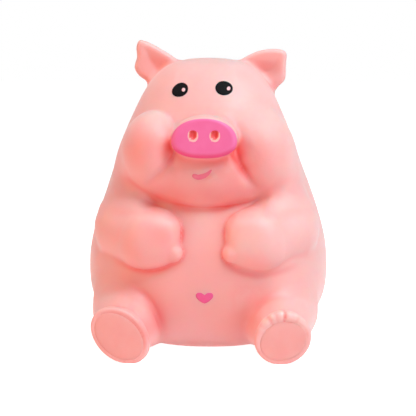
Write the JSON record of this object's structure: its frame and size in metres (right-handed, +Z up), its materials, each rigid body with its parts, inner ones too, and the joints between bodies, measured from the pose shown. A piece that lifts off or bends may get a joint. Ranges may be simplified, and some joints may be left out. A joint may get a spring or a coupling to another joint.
{
  "type": "pig squishy toy",
  "caption": "Seated pig squeeze toy: soft hollow skin with folded arms and stretched legs, dough filling, sole plugs and painted face details.",
  "frame": {"origin": "on the floor, under the middle of the belly", "axes": "+Z up; the pig looks along -Y; its own left side is +X"},
  "size_m": [0.0766, 0.0841, 0.0979],
  "materials": {
    "skin": "soft matte pink elastomer, slightly translucent",
    "sole": "soft matte pink elastomer, slightly deeper pink",
    "filling": "soft cream dough",
    "paint_magenta": "satin magenta paint film",
    "paint_black": "glossy black paint film",
    "paint_pearl": "glossy pale pink paint dot"
  },
  "bodies": {
    "root": {"torso_skin": "skin", "head_skin": "skin", "snout": "skin", "ear_right": "skin", "ear_left": "skin", "arm_right": "skin", "arm_left": "skin", "leg_right": "skin", "leg_left": "skin", "tail": "skin", "sole_right": "sole", "sole_left": "sole", "filling": "filling", "snout_paint": "paint_magenta", "eye_right": "paint_black", "eye_left": "paint_black", "eye_glint_right": "paint_pearl", "eye_glint_left": "paint_pearl", "mouth_paint": "paint_magenta", "navel_heart": "paint_magenta"}
  },
  "joints": []
}
